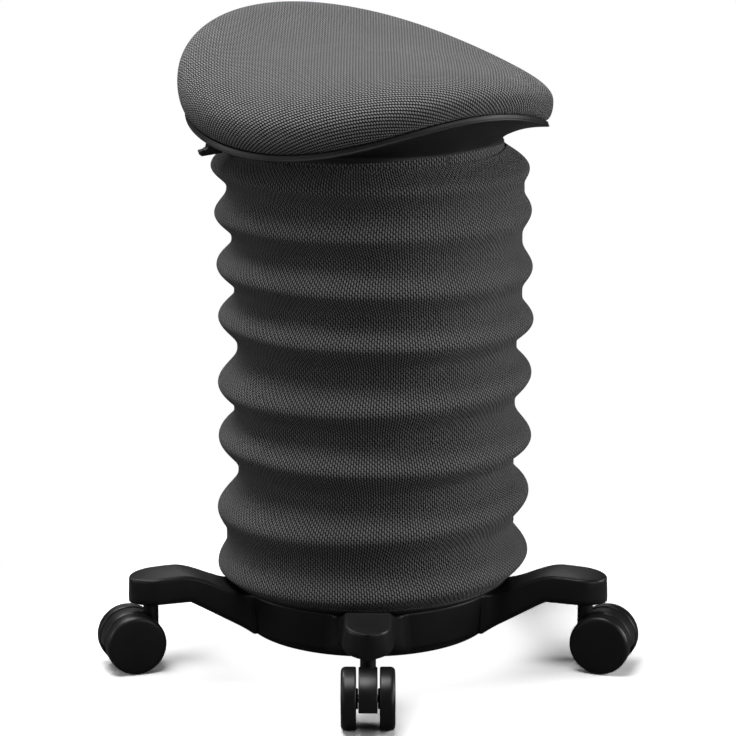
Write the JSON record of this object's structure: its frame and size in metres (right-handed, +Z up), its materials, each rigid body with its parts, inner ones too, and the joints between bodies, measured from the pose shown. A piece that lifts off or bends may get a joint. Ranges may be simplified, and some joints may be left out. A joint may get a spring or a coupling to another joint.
{
  "type": "balance stool",
  "caption": "Balance stool with a saddle seat that leans and turns on a gas column, hidden in a ribbed fabric bellows, on a star base with twin-wheel casters.",
  "frame": {"origin": "on the floor under the gas column's axis", "axes": "+Z up along the column, -Y towards the viewer along the front arm, +X to the viewer's right"},
  "size_m": [0.5712, 0.5141, 0.6731],
  "materials": {
    "black_nylon": "satin moulded",
    "wheel_black": "satin moulded",
    "shell_black": "satin moulded",
    "bellows_knit": "ribbed knit",
    "seat_mesh": "bead mesh over foam",
    "steel": "bright",
    "black_steel": "black coated",
    "rubber": "moulded",
    "bush_white": "moulded",
    "plywood": "raw"
  },
  "bodies": {
    "base": {"base_star": "black_nylon", "column_tube": "black_steel", "column_bush": "bush_white", "thrust_washer": "steel", "piston_rod": "steel", "rod_clip": "black_steel", "hem_ring": "black_nylon", "bellows_cover": "bellows_knit", "caster_stem_1": "steel", "caster_stem_2": "steel", "caster_stem_3": "steel", "caster_stem_4": "steel", "caster_stem_5": "steel"},
    "carrier": {"gas_cylinder": "black_steel", "carrier_dish": "black_nylon", "swivel_bearing": "steel"},
    "pin": {"release_pin": "steel"},
    "turntable": {"swivel_plate": "black_steel"},
    "mount": {"rubber_mount": "rubber"},
    "seat": {"seat_frame": "black_steel", "lever_pin": "steel", "seat_board": "plywood", "seat_shell": "shell_black", "seat_cushion": "seat_mesh", "frame_screw_1": "steel", "frame_screw_2": "steel", "frame_screw_3": "steel", "frame_screw_4": "steel", "shell_screw_1": "steel", "shell_screw_2": "steel", "shell_screw_3": "steel", "shell_screw_4": "steel"},
    "lever": {"height_lever": "shell_black"},
    "caster_1": {"caster_hood_1": "wheel_black", "caster_axle_1": "steel"},
    "wheel_1_left": {"caster_wheel_1_left": "wheel_black"},
    "wheel_1_right": {"caster_wheel_1_right": "wheel_black"},
    "caster_2": {"caster_hood_2": "wheel_black", "caster_axle_2": "steel"},
    "wheel_2_left": {"caster_wheel_2_left": "wheel_black"},
    "wheel_2_right": {"caster_wheel_2_right": "wheel_black"},
    "caster_3": {"caster_hood_3": "wheel_black", "caster_axle_3": "steel"},
    "wheel_3_left": {"caster_wheel_3_left": "wheel_black"},
    "wheel_3_right": {"caster_wheel_3_right": "wheel_black"},
    "caster_4": {"caster_hood_4": "wheel_black", "caster_axle_4": "steel"},
    "wheel_4_left": {"caster_wheel_4_left": "wheel_black"},
    "wheel_4_right": {"caster_wheel_4_right": "wheel_black"},
    "caster_5": {"caster_hood_5": "wheel_black", "caster_axle_5": "steel"},
    "wheel_5_left": {"caster_wheel_5_left": "wheel_black"},
    "wheel_5_right": {"caster_wheel_5_right": "wheel_black"}
  },
  "joints": [
    {"name": "lift", "type": "slide", "parent": "base", "child": "carrier", "axis": [0, 0, 1], "range_m": [-0.1, 0], "stiffness_N_per_m": 600, "springref_m": 0.25, "deforming": ["bellows_cover"]},
    {"name": "release_pin", "type": "slide", "parent": "carrier", "child": "pin", "axis": [0, 0, -1], "range_m": [0, 0.0055]},
    {"name": "swivel", "type": "hinge", "parent": "carrier", "child": "turntable", "pos_m": [0, 0, 0.5], "axis": [0, 0, 1], "continuous": true},
    {"name": "seat_pitch", "type": "hinge", "parent": "turntable", "child": "mount", "pos_m": [0, 0, 0.5365], "axis": [0.8151, 0.5793, 0], "range_deg": [-4, 4], "stiffness_Nm_per_rad": 160, "deforming": ["rubber_mount"]},
    {"name": "seat_roll", "type": "hinge", "parent": "mount", "child": "seat", "pos_m": [0, 0, 0.5365], "axis": [0.5793, -0.8151, 0], "range_deg": [-4, 4], "stiffness_Nm_per_rad": 160, "deforming": ["bellows_cover", "rubber_mount"]},
    {"name": "lever", "type": "hinge", "parent": "seat", "child": "lever", "pos_m": [-0.05738, -0.01754, 0.563], "axis": [-0.2924, 0.9563, 0], "range_deg": [0, 4.5], "stiffness_Nm_per_rad": 1, "springref_deg": -11.46},
    {"name": "caster_swivel_1", "type": "hinge", "parent": "base", "child": "caster_1", "pos_m": [0, -0.24, 0.06], "axis": [0, 0, 1], "continuous": true},
    {"name": "wheel_spin_1_left", "type": "hinge", "parent": "caster_1", "child": "wheel_1_left", "pos_m": [0, -0.261, 0.03175], "axis": [1, 0, 0], "continuous": true},
    {"name": "wheel_spin_1_right", "type": "hinge", "parent": "caster_1", "child": "wheel_1_right", "pos_m": [0, -0.261, 0.03175], "axis": [1, 0, 0], "continuous": true},
    {"name": "caster_swivel_2", "type": "hinge", "parent": "base", "child": "caster_2", "pos_m": [0.22825, -0.07416, 0.06], "axis": [0, 0, 1], "continuous": true},
    {"name": "wheel_spin_2_left", "type": "hinge", "parent": "caster_2", "child": "wheel_2_left", "pos_m": [0.24823, -0.08065, 0.03175], "axis": [0.309, 0.9511, 0], "continuous": true},
    {"name": "wheel_spin_2_right", "type": "hinge", "parent": "caster_2", "child": "wheel_2_right", "pos_m": [0.24823, -0.08065, 0.03175], "axis": [0.309, 0.9511, 0], "continuous": true},
    {"name": "caster_swivel_3", "type": "hinge", "parent": "base", "child": "caster_3", "pos_m": [0.14107, 0.19416, 0.06], "axis": [0, 0, 1], "continuous": true},
    {"name": "wheel_spin_3_left", "type": "hinge", "parent": "caster_3", "child": "wheel_3_left", "pos_m": [0.12007, 0.19416, 0.03175], "axis": [0, -1, 0], "continuous": true},
    {"name": "wheel_spin_3_right", "type": "hinge", "parent": "caster_3", "child": "wheel_3_right", "pos_m": [0.12007, 0.19416, 0.03175], "axis": [0, -1, 0], "continuous": true},
    {"name": "caster_swivel_4", "type": "hinge", "parent": "base", "child": "caster_4", "pos_m": [-0.14107, 0.19416, 0.06], "axis": [0, 0, 1], "continuous": true},
    {"name": "wheel_spin_4_left", "type": "hinge", "parent": "caster_4", "child": "wheel_4_left", "pos_m": [-0.12007, 0.19416, 0.03175], "axis": [0, 1, 0], "continuous": true},
    {"name": "wheel_spin_4_right", "type": "hinge", "parent": "caster_4", "child": "wheel_4_right", "pos_m": [-0.12007, 0.19416, 0.03175], "axis": [0, 1, 0], "continuous": true},
    {"name": "caster_swivel_5", "type": "hinge", "parent": "base", "child": "caster_5", "pos_m": [-0.22825, -0.07416, 0.06], "axis": [0, 0, 1], "continuous": true},
    {"name": "wheel_spin_5_left", "type": "hinge", "parent": "caster_5", "child": "wheel_5_left", "pos_m": [-0.24823, -0.08065, 0.03175], "axis": [0.309, -0.9511, 0], "continuous": true},
    {"name": "wheel_spin_5_right", "type": "hinge", "parent": "caster_5", "child": "wheel_5_right", "pos_m": [-0.24823, -0.08065, 0.03175], "axis": [0.309, -0.9511, 0], "continuous": true}
  ],
  "couplings": [
    {"joint": "release_pin", "follows": "lever", "m_per_rad": 0.06}
  ]
}
